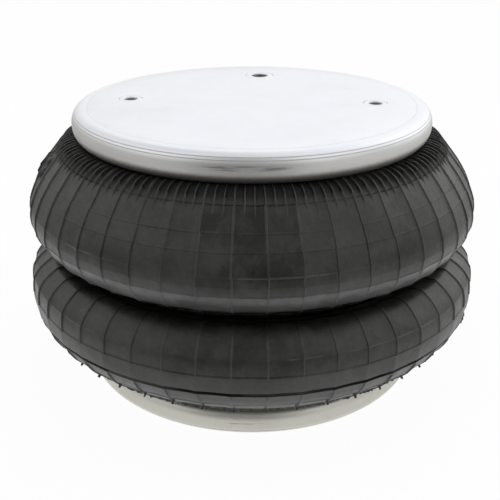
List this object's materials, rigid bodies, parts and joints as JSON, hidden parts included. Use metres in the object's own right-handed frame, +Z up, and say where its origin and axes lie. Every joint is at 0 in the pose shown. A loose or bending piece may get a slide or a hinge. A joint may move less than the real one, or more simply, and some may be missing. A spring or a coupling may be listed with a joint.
{
  "type": "air bellows actuator",
  "caption": "Pneumatic bellows actuator with a twin-lobe ribbed rubber wall, crimped steel end plates, threaded blind nuts and an air port.",
  "frame": {"origin": "centre of the bottom plate's outer face, at the free height", "axes": "+Z up along the stroke, out of the top plate's face; X through each plate's two blind nuts; +Y from the axis towards the air inlet"},
  "size_m": [0.298, 0.298, 0.1778],
  "materials": {
    "zinc_plated_steel": "clear zinc plate with fine handling scuffs, satin",
    "steel_wire": "plain drawn steel, matt",
    "moulded_rubber": "charcoal moulded rubber, matt, faintly dusty",
    "bumper_rubber": "black moulded rubber, matt"
  },
  "bodies": {
    "lower_end": {"bottom_bead_plate": "zinc_plated_steel", "lower_bead": "moulded_rubber", "lower_bead_core": "steel_wire", "bottom_blind_nut_left": "zinc_plated_steel", "bottom_blind_nut_right": "zinc_plated_steel", "lower_shoulder_wall": "moulded_rubber", "bumper": "bumper_rubber", "bumper_stud": "steel_wire", "bumper_washer": "steel_wire", "bumper_locknut": "steel_wire"},
    "lower_crown": {"lower_crown_band": "moulded_rubber"},
    "waist": {"lower_waist_wall": "moulded_rubber", "waist_band": "moulded_rubber", "girdle_hoop": "steel_wire", "upper_waist_wall": "moulded_rubber"},
    "upper_crown": {"upper_crown_band": "moulded_rubber"},
    "upper_end": {"upper_shoulder_wall": "moulded_rubber", "top_bead_plate": "zinc_plated_steel", "upper_bead": "moulded_rubber", "upper_bead_core": "steel_wire", "top_blind_nut_left": "zinc_plated_steel", "top_blind_nut_right": "zinc_plated_steel", "air_inlet_boss": "zinc_plated_steel"}
  },
  "joints": [
    {"name": "lower_shoulder_stroke", "type": "slide", "parent": "lower_end", "child": "lower_crown", "axis": [0, 0, 1], "range_m": [-0.0254, 0.01948], "stiffness_N_per_m": 20000, "springref_m": 0.001, "deforming": ["lower_shoulder_wall"]},
    {"name": "lower_flank_stroke", "type": "slide", "parent": "lower_crown", "child": "waist", "axis": [0, 0, 1], "range_m": [-0.01072, 0.00822], "stiffness_N_per_m": 20000, "springref_m": 0.001, "deforming": ["lower_waist_wall"]},
    {"name": "upper_flank_stroke", "type": "slide", "parent": "waist", "child": "upper_crown", "axis": [0, 0, 1], "range_m": [-0.01464, 0.01123], "stiffness_N_per_m": 20000, "springref_m": 0.001, "deforming": ["upper_waist_wall"]},
    {"name": "upper_shoulder_stroke", "type": "slide", "parent": "upper_crown", "child": "upper_end", "axis": [0, 0, 1], "range_m": [-0.0255, 0.01955], "stiffness_N_per_m": 20000, "springref_m": 0.001, "deforming": ["upper_shoulder_wall"]}
  ],
  "couplings": [
    {"joint": "lower_shoulder_stroke", "follows": "upper_shoulder_stroke", "ratio": 0.9952},
    {"joint": "lower_flank_stroke", "follows": "upper_shoulder_stroke", "ratio": 0.41966},
    {"joint": "upper_flank_stroke", "follows": "upper_shoulder_stroke", "ratio": 0.57314}
  ]
}
